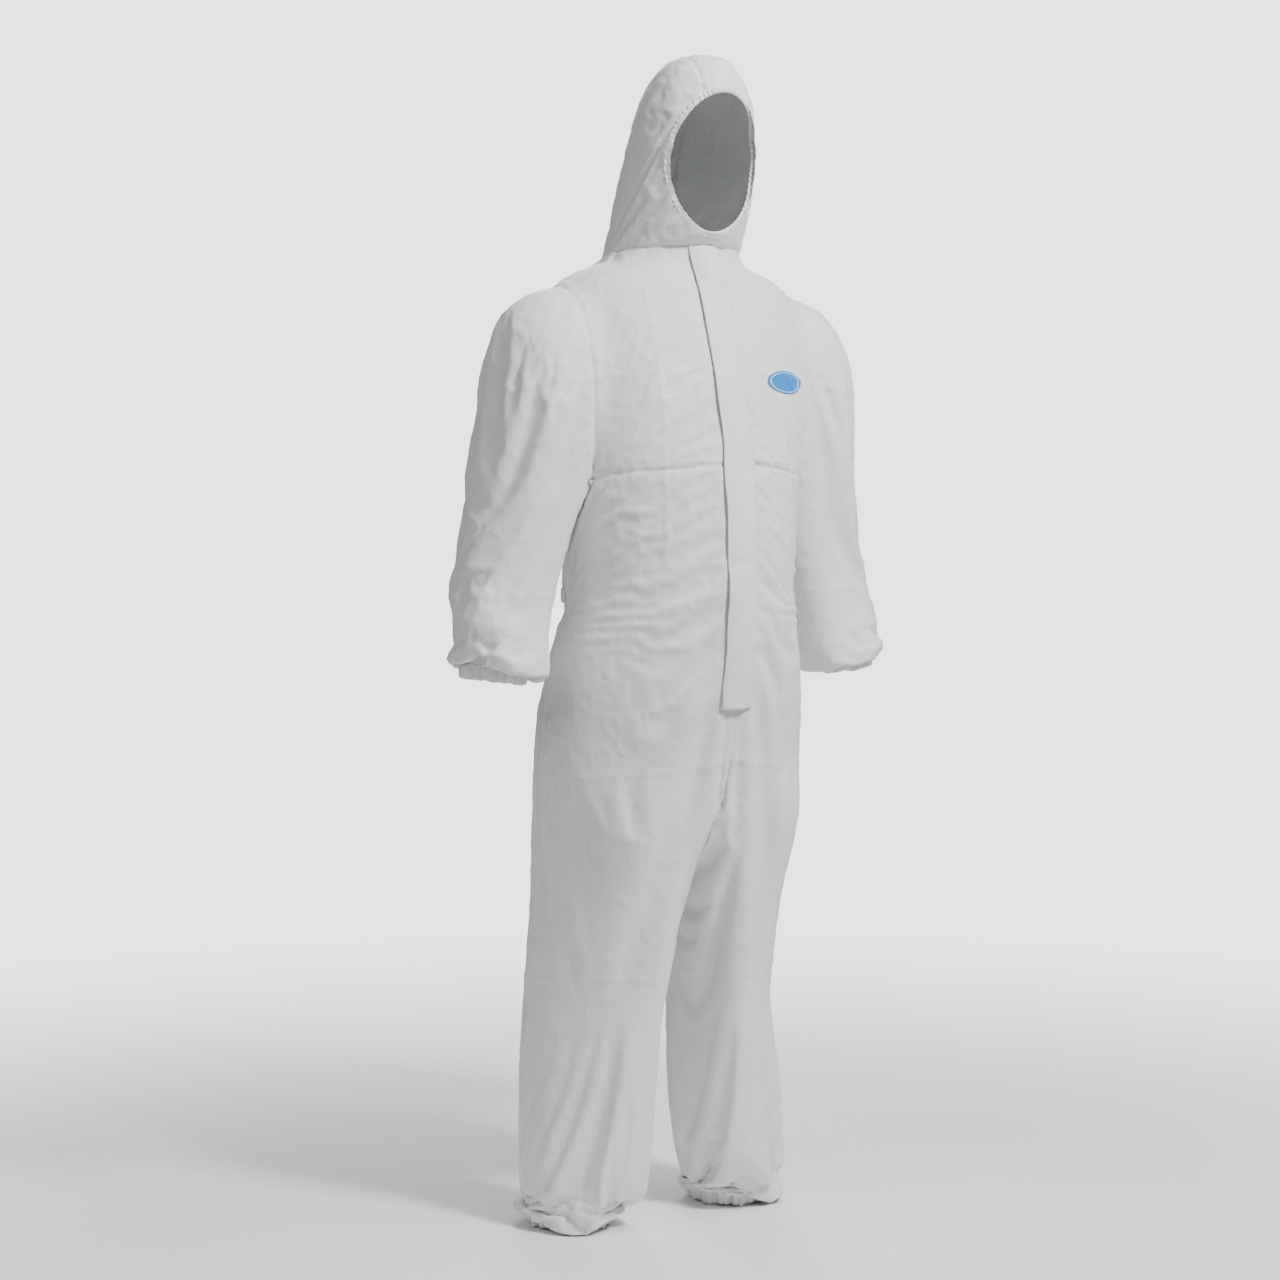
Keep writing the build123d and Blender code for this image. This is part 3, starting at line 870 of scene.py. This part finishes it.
def dress(obj, material):
    obj.data.materials.clear()
    obj.data.materials.append(material)
    obj.data.polygons.foreach_set("use_smooth", [True] * len(obj.data.polygons))


def store_cloth_place(obj, points):
    place = obj.data.attributes.new("cloth", "FLOAT_VECTOR", "POINT")
    place.data.foreach_set("vector", np.asarray(points, np.float32).ravel())


def grid_faces(rows, columns, closed_rows=False, closed_columns=False):
    """Faces of a grid of points, numbered row by row."""
    faces = []
    for i in range(rows if closed_rows else rows - 1):
        for j in range(columns if closed_columns else columns - 1):
            a, b = i * columns + j, i * columns + (j + 1) % columns
            below = ((i + 1) % rows) * columns
            faces.append((a, b, below + (j + 1) % columns, below + j))
    return faces


def swept(name, rows, closed=True):
    """A surface through rows of points; each row is a loop when closed."""
    rows = np.array(rows)
    n, m = rows.shape[:2]
    obj = mesh_object(name, rows.reshape(-1, 3), grid_faces(n, m, closed_rows=True, closed_columns=closed))
    store_cloth_place(obj, rows.reshape(-1, 3))
    return obj


def turned_section(reach, height, steps):
    """A narrow closed loop round a folded band: outward offset and distance along it."""
    out = []
    for t in np.linspace(0, 2 * math.pi, steps, endpoint=False):
        across = reach * math.copysign(abs(math.cos(t)) ** 0.6, math.cos(t))
        out.append((across, height * (0.5 - 0.5 * math.sin(t))))
    return out


def end_hem(name, axes, radii, seed, section, inset, swing):
    """A gathered band of cloth, or the elastic in it, round a wrist or an ankle."""
    centre, across, deep, down = axes
    angles = np.linspace(0, 2 * math.pi, 288, endpoint=False)
    outward = np.outer(np.cos(angles), across) + np.outer(np.sin(angles), deep)
    oval = np.outer(np.cos(angles) * (radii[0] - inset), across)
    oval = oval + np.outer(np.sin(angles) * (radii[1] - inset), deep)
    wave = ruffle(angles, seed)
    rows = []
    for out, along in section:
        lower = along / HEM_HEIGHT
        grow = out + wave * swing * (1 + 0.5 * lower) - 0.004 * lower
        sag = along + 0.0012 * np.sin(7 * angles + seed) * lower
        rows.append(centre + oval + outward * grow[:, None] + np.outer(sag, down))
    return swept(name, rows)


def hood_surface_y(x, z):
    """Depth of the draped hood beside the face opening."""
    hit = surface.ray_cast(Vector((x, -0.4, z)), Vector((0, 1, 0)))
    return hit[0].y if hit[0] is not None and hit[0].y < 0.03 else None


def face_line():
    """Points round the face opening's edge on the draped hood, with the outward directions."""
    angles = np.linspace(0, 2 * math.pi, 480, endpoint=False)
    depth = []
    for a in angles:
        x, z = 1.07 * FACE_RADII[0] * math.cos(a), level(FACE_CENTRE) + 1.07 * FACE_RADII[1] * math.sin(a)
        depth.append(hood_surface_y(x, z))
    depth = np.array([np.nan if d is None else d for d in depth])
    known = ~np.isnan(depth)
    depth = np.interp(angles, angles[known], depth[known], period=2 * math.pi)
    around = np.arange(-12, 13)
    depth = np.mean([np.roll(depth, k) for k in around], axis=0)
    x, z = FACE_RADII[0] * np.cos(angles), FACE_RADII[1] * np.sin(angles)
    line = np.column_stack([x, depth, level(FACE_CENTRE) + z])
    outward = np.column_stack([np.cos(angles) / FACE_RADII[0], 0 * angles, np.sin(angles) / FACE_RADII[1]])
    outward /= np.linalg.norm(outward, axis=1)[:, None]
    return angles, line, outward


def face_band(name, width, thickness, start, swing):
    """The folded band round the face, or the elastic in it, gathered along its length."""
    angles, line, outward = face_line()
    wave = np.sin(74 * angles + 3 * np.sin(7 * angles))
    rows = []
    for t in np.linspace(0, 2 * math.pi, 14, endpoint=False):
        out = start + width * (0.5 + 0.5 * math.cos(t))
        proud = thickness * math.sin(t)
        edge = 0.0005 * wave * (0.5 + 0.5 * math.cos(t)) * (swing > 0)
        row = line + outward * (out + edge)[:, None]
        row[:, 1] -= proud + swing * wave
        rows.append(row)
    return swept(name, rows)


def flap_rows(x_range, heights, lift, columns, spacing):
    """Points of a strip along the front, each lifted off the front line."""
    rows = []
    for height in np.arange(heights[0], heights[1] + spacing / 2, spacing):
        slope = (height - BOW_HEIGHT) / BOW_RADIUS
        normal = np.array([0, -math.sqrt(1 - slope**2), slope])
        row = []
        wander = 0.0016 * noise.noise(Vector((height * 9, 4, 1))) + 0.0007 * math.sin(height * 61)
        for x in np.linspace(*x_range, columns):
            x += wander * (FLAP_X[1] - x) / (FLAP_X[1] - FLAP_X[0])
            base = np.array([x, front_bow(height), level(height)])
            row.append(base + normal * lift(x, height))
        rows.append(row)
    return np.array(rows)


# Heights between which the closed flap arches over the pull tab
TAB_TOP = 1.427
TAB_BOTTOM = 1.402


def flap_lift(x, height):
    """The flap stands over the zip, is sewn down on one side and lies close on the other."""
    across = (x - FLAP_X[0]) / (FLAP_X[1] - FLAP_X[0])
    inside = min(max(across, 0), 1)
    over_tab = math.exp(-((max(TAB_BOTTOM - height, height - TAB_TOP, 0) / 0.014) ** 2))
    hump = 0.0020 + (0.0052 + 0.0046 * over_tab) * math.sin(math.pi * inside) ** 0.9
    free = (1 - inside) ** 1.5
    swell = 0.0022 * abs(noise.noise(Vector((x * 12, height * 11, 3))))
    ripple = free * (swell + 0.0010 * math.sin(height * 43))
    crumple = 0.0009 * noise.fractal(Vector((x * 40, height * 34, 6)), 1.0, 2.0, 2)
    pucker = 0.0011 * noise.noise(Vector((x * 60, height * 130, 8)))
    pucker *= math.exp(-(((across - 0.86) / 0.14) ** 2))
    press = -0.0009 * math.exp(-(((height - 0.985) / 0.004) ** 2))
    groove = -0.0018 * math.exp(-(((across - 0.89) / 0.03) ** 2))
    return max(0.0012, hump + ripple + crumple + pucker + press + groove - 0.0012 * inside**6)


def strip(name, rows, thickness):
    """A thin sheet through rows of points, with real thickness."""
    n, m = rows.shape[:2]
    obj = mesh_object(name, rows.reshape(-1, 3), grid_faces(n, m))
    store_cloth_place(obj, rows.reshape(-1, 3))
    solid = obj.modifiers.new("Thickness", "SOLIDIFY")
    solid.thickness = thickness
    solid.offset = 0
    return applied(obj)


def badge_mesh(name, cad_name):
    """An oval that follows the chest's surface just outside it."""
    low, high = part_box(cad_name)
    centre_x, centre_z = (low[0] + high[0]) / 2, (low[2] + high[2]) / 2
    radius_x, radius_z = (high[0] - low[0]) / 2, (high[2] - low[2]) / 2
    points, place, faces = [], [], []
    rings, count = 10, 72
    for i in range(rings + 1):
        for j in range(count):
            a, reach = 2 * math.pi * j / count, i / rings
            x, z = centre_x + radius_x * reach * math.cos(a), centre_z + radius_z * reach * math.sin(a)
            hit = surface.ray_cast(Vector((x, -0.5, z)), Vector((0, 1, 0)))
            points.append(hit[0] + Vector((0.0002, -0.0009, 0)))
            place.append((reach, radius_x * reach * math.cos(a), radius_z * reach * math.sin(a)))
    for i in range(rings):
        for j in range(count):
            a, b = i * count + j, i * count + (j + 1) % count
            faces.append((a, b, b + count, a + count))
    obj = mesh_object(name, points, faces)
    store_cloth_place(obj, place)
    bm = bmesh.new()
    bm.from_mesh(obj.data)
    bmesh.ops.remove_doubles(bm, verts=bm.verts[:], dist=1e-5)
    bm.to_mesh(obj.data)
    bm.free()
    return obj


def waist_rows(half_height, proud, count, swing, rows):
    """Points of a band over the back of the waist, on the draped cloth."""
    angles = np.linspace(math.radians(20), math.radians(160), count)
    out = []
    for v in np.linspace(-half_height, half_height, rows):
        row = []
        for i, a in enumerate(angles):
            direction = Vector((math.cos(a), math.sin(a), 0))
            start = Vector((0, -0.01, level(WAIST) + v)) + direction * 0.45
            hit = surface.ray_cast(start, -direction)
            base = hit[0] if hit[0] is not None and (hit[0] - start).length < 0.35 else None
            row.append((base, direction))
        known = [i for i, (b, _) in enumerate(row) if b is not None and abs(b.x) < 0.21]
        reach = np.interp(range(count), known, [(row[i][0].xy - Vector((0, -0.01))).length for i in known])
        out.append(reach)
    reach = np.maximum.reduce(out)
    smooth = np.convolve(np.pad(reach, 6, mode="edge"), np.ones(13) / 13, mode="valid")
    taper = np.sin(np.pi * np.arange(count) / (count - 1)) ** 0.3
    result = []
    for v in np.linspace(-half_height, half_height, rows):
        bulge = 1 - 0.5 * (v / half_height) ** 2
        wave = np.sin(angles * 46 + 1.5 * np.sin(angles * 9)) * swing
        r = smooth + proud * bulge * taper + wave * (0.6 + 0.4 * abs(v) / half_height)
        height = np.full(count, level(WAIST) + v)
        result.append(np.column_stack([r * np.cos(angles), -0.01 + r * np.sin(angles), height]))
    return np.array(result)


def stitches(name, path, spacing=0.0042, length=0.0029, width=0.00042):
    """A row of thread stitches along a path of (point, outward direction)."""
    points = np.array([p for p, _ in path], float)
    normals = np.array([n for _, n in path], float)
    run = np.concatenate([[0], np.cumsum(np.linalg.norm(np.diff(points, axis=0), axis=1))])
    verts, faces = [], []
    for start in np.arange(0, run[-1] - length, spacing):
        places = (start, start + length / 2, start + length)
        at = [np.array([np.interp(s, run, points[:, k]) for k in range(3)]) for s in places]
        up = np.array([np.interp(start, run, normals[:, k]) for k in range(3)])
        along = at[2] - at[0]
        side = np.cross(along, up)
        side *= width / max(np.linalg.norm(side), 1e-9)
        base = len(verts)
        verts += [at[0], at[2], at[1] + side, at[1] - side, at[1] + up * width * 1.6, at[1] - up * width]
        for a, b in ((2, 4), (4, 3), (3, 5), (5, 2)):
            faces += [(base, base + a, base + b), (base + 1, base + b, base + a)]
    return mesh_object(name, verts, faces)


# Pieces

CLOTH = nonwoven()
BINDING = nonwoven("hem_binding", tint=(0.985, 0.985, 0.98), grid=0.0)
# The flap's cloth is a copy of the suit's cloth painted 2% lighter: painted light for the brighter light on
# the raised flap.
FLAP_CLOTH_PAINTED_LIGHTER = nonwoven("flap_cloth_painted_lighter", tint=(1.02, 1.02, 1.015), grid=0.4)
ELASTIC = woven("elastic", (0.74, 0.74, 0.72), (0.86, 0.86, 0.84), 0.0009)
TAPE = woven("zip_tape", (0.70, 0.71, 0.73), (0.84, 0.85, 0.86))
THREAD = woven("thread", (0.80, 0.80, 0.80), (0.88, 0.88, 0.88), 0.0004)

BLENDS = {
    "hood": ("torso", "hood", (0, 0, level(1.442)), (0, 0, level(1.640))),
    "sleeve_left": ("torso", "sleeve_left", (0.192, 0, level(1.078)), (0.270, 0, level(1.045))),
    "sleeve_right": ("torso", "sleeve_right", (-0.192, 0, level(1.078)), (-0.270, 0, level(1.045))),
    "leg_upper_left": ("torso", "thigh_left", (0.010, 0, level(0.622)), (0.083, 0, level(0.497))),
    "leg_upper_right": ("torso", "thigh_right", (-0.010, 0, level(0.622)), (-0.083, 0, level(0.497))),
    "leg_lower_left": ("thigh_left", "shin_left", (0, 0, level(0.465)), (0, 0, level(0.335))),
    "leg_lower_right": ("thigh_right", "shin_right", (0, 0, level(0.465)), (0, 0, level(0.335))),
}
REPLACED = {
    "leg_upper_left": ("leg_top_left", "thigh_left"),
    "leg_upper_right": ("leg_top_right", "thigh_right"),
    "leg_lower_left": ("shin_left",),
    "leg_lower_right": ("shin_right",),
}


def attach(obj, key):
    """Rides a piece on a body, by the body's name; given the name of a blend, only bakes its transform into
    its mesh.
    """
    if key in BLENDS:
        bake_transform(obj)
    else:
        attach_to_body(obj, key)


for name, panel in panels.items():
    dress(panel, CLOTH)
    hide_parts(*REPLACED.get(name, (name,)))
    attach(panel, name if name in BLENDS else "hood" if name.startswith("hood") else "torso")

for side_name, side in (("left", 1), ("right", -1)):
    for limb, axes, radii, seed, body in (
        ("wrist", wrist_axes(side), WRIST_RADII, side, f"sleeve_{side_name}"),
        ("ankle", ankle_axes(side), ANKLE_RADII, 1 + side, f"shin_{side_name}"),
    ):
        outer, inner = turned_section(0.0022, HEM_HEIGHT, 16), turned_section(0.0006, HEM_HEIGHT * 0.7, 10)
        place = (axes, radii, seed)
        hem = end_hem(f"suit_{limb}_hem_{side_name}", *place, outer, 0.001, HEM_GATHER)
        elastic = end_hem(f"suit_{limb}_elastic_{side_name}", *place, inner, 0.001, HEM_GATHER)
        dress(hem, BINDING)
        dress(elastic, ELASTIC)
        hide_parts(f"{limb}_hem_{side_name}")
        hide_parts(f"{limb}_elastic_{side_name}")
        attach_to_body(hem, body)
        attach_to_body(elastic, body)

face_hem = face_band("suit_face_hem", 0.0085, 0.0021, -0.003, FACE_GATHER)
dress(face_hem, BINDING)
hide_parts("face_hem")
attach(face_hem, "hood")
face_elastic = face_band("suit_face_elastic", 0.0050, 0.0006, -0.0012, FACE_GATHER)
dress(face_elastic, ELASTIC)
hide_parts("face_elastic")
attach(face_elastic, "hood")

casing = strip("suit_waist_casing", waist_rows(0.011, 0.0045, 300, 0.0022, 7), 0.0004)
dress(casing, CLOTH)
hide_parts("waist_casing")
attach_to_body(casing, "torso")
waist_elastic = strip("suit_waist_elastic", waist_rows(0.006, 0.0020, 300, 0.0008, 3), 0.0010)
dress(waist_elastic, ELASTIC)
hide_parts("waist_elastic")
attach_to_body(waist_elastic, "torso")

flap = strip("suit_storm_flap", flap_rows(FLAP_X, FLAP_HEIGHTS, flap_lift, 33, 0.0035), 0.0006)
dress(flap, FLAP_CLOTH_PAINTED_LIGHTER)
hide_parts("storm_flap")
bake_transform(flap)
UNDERSIDE = 0.0006
for cad_name, x_range, gap, material, slot in (
    (
        "flap_adhesive", (-0.024, -0.014), UNDERSIDE,
        paper_liner("adhesive", (0.72, 0.70, 0.60), (0.84, 0.82, 0.72), 0.35), "adhesive",
    ),
    (
        "flap_liner", (-0.025, -0.013), 2 * UNDERSIDE,
        paper_liner("release_liner", (0.80, 0.80, 0.78), (0.88, 0.88, 0.86), 0.42), "release_liner",
    ),
):
    rows = flap_rows(x_range, (0.790, 1.425), lambda x, height: flap_lift(x, height) - gap, 7, 0.007)
    piece = strip(f"suit_{cad_name}", rows, 0.0003)
    dress(piece, material)
    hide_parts(cad_name)
    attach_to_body(piece, "flap")

badge = badge_mesh("suit_chest_badge", "chest_badge")
dress(badge, printed_badge())
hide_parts("chest_badge")
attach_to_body(badge, "torso")


def flap_stitch_path(x):
    path = []
    for height in np.arange(FLAP_HEIGHTS[0] + 0.006, FLAP_HEIGHTS[1] - 0.004, 0.004):
        slope = (height - BOW_HEIGHT) / BOW_RADIUS
        normal = np.array([0, -math.sqrt(1 - slope**2), slope])
        point = np.array([x, front_bow(height), level(height)]) + normal * (flap_lift(x, height) + 0.0006)
        path.append((point, normal))
    return path


def surface_path(starts, direction):
    """Points where rays meet the draped cloth, with the outward directions."""
    path = []
    for start in starts:
        hit = surface.ray_cast(Vector(start), Vector(direction))
        if hit[0] is not None:
            outward = hit[1] if hit[1].dot(Vector(direction)) < 0 else -hit[1]
            path.append((hit[0] + outward * 0.0004, outward))
    return path


seams = {
    "suit_stitches_flap_outer": (flap_stitch_path(0.0185), "flap_line"),
    "suit_stitches_flap_inner": (flap_stitch_path(0.0225), "torso"),
}
for side_name, side in (("left", 1), ("right", -1)):
    for offset in (-0.004, 0.004):
        starts = [(side * x, -0.5, level(CHEST_SEAM) + offset) for x in np.arange(0.034, 0.178, 0.004)]
        label = "upper" if offset > 0 else "lower"
        seams[f"suit_stitches_chest_{label}_{side_name}"] = (surface_path(starts, (0, 1, 0)), "torso")
for name, (path, body) in seams.items():
    row = stitches(name, path)
    dress(row, THREAD)
    if body == "flap_line":
        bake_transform(row)
    else:
        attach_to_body(row, body)

for node, material in (
    ("zip_tape_left", TAPE),
    ("zip_tape_right", TAPE),
    ("zip_coil_left", nylon_coil()),
    ("zip_coil_right", None),
    ("zip_top_stops", None),
    ("zip_bottom_stop", None),
    ("zip_slider", enamel()),
    ("pull_tab", None),
):
    chosen = material or chosen
    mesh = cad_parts[node].data
    mesh.materials.clear()
    mesh.materials.append(chosen)


# Stage, lights and camera


def aimed(location, target):
    return (Vector(target) - Vector(location)).to_track_quat("-Z", "Y").to_euler()


def place_light(data, location, target):
    light = bpy.data.objects.new(data.name, data)
    light.location = location
    light.rotation_euler = aimed(location, target)
    bpy.context.scene.collection.objects.link(light)


def soft_light(name, location, target, power, size):
    data = bpy.data.lights.new(name, "AREA")
    data.energy = power
    data.size = size
    place_light(data, location, target)


def broad_light(name, location, target, power, spread):
    """A distant light, so the floor is lit evenly out to its edge."""
    data = bpy.data.lights.new(name, "SUN")
    data.energy = power
    data.angle = math.radians(spread)
    place_light(data, location, target)


FLOOR_HALF = 4.0
FLOOR_CORNERS = ((-1, -1), (1, -1), (1, 1), (-1, 1))
floor_points = [(FLOOR_HALF * x, FLOOR_HALF * y, 0) for x, y in FLOOR_CORNERS]
floor = mesh_object("studio_floor", floor_points, [(0, 1, 2, 3)])
floor.location.z = FLOOR_Z - 0.002
floor.data.materials.append(floor_material())

world = bpy.data.worlds.new("studio")
world.use_nodes = True
nodes, links = world.node_tree.nodes, world.node_tree.links
ambient = nodes["Background"]
ambient.inputs["Color"].default_value = (0.96, 0.98, 1.0, 1)
ambient.inputs["Strength"].default_value = 0.17
backdrop = nodes.new("ShaderNodeBackground")
backdrop.inputs["Strength"].default_value = 3.0
backdrop.inputs["Color"].default_value = (1, 1, 1, 1)
seen = nodes.new("ShaderNodeLightPath")
mix = nodes.new("ShaderNodeMixShader")
links.new(seen.outputs["Is Camera Ray"], mix.inputs[0])
links.new(ambient.outputs[0], mix.inputs[1])
links.new(backdrop.outputs[0], mix.inputs[2])
links.new(mix.outputs[0], nodes["World Output"].inputs["Surface"])
bpy.context.scene.world = world
broad_light("room", (0.3, -0.5, 2.4), (0, 0, 0), 1.1, 40)
soft_light("key", (0.5, -1.9, 1.25), (0, 0, -0.25), 95, 0.45)
soft_light("side", (-2.4, -0.5, 0.7), (0, 0, -0.5), 12, 0.8)
soft_light("back", (1.2, 2.4, 1.2), (0, 0, -0.5), 55, 1.2)

camera_data = bpy.data.cameras.new("camera")
camera_data.lens = 76
camera = bpy.data.objects.new("camera", camera_data)
CAMERA_AZIMUTH = math.radians(-33)
CAMERA_DISTANCE = 4.0
camera.location = (
    CAMERA_DISTANCE * math.sin(CAMERA_AZIMUTH),
    -CAMERA_DISTANCE * math.cos(CAMERA_AZIMUTH),
    level(1.060),
)
camera.rotation_euler = aimed(camera.location, (-0.047, 0.031, level(0.867)))
bpy.context.scene.collection.objects.link(camera)
bpy.context.scene.camera = camera
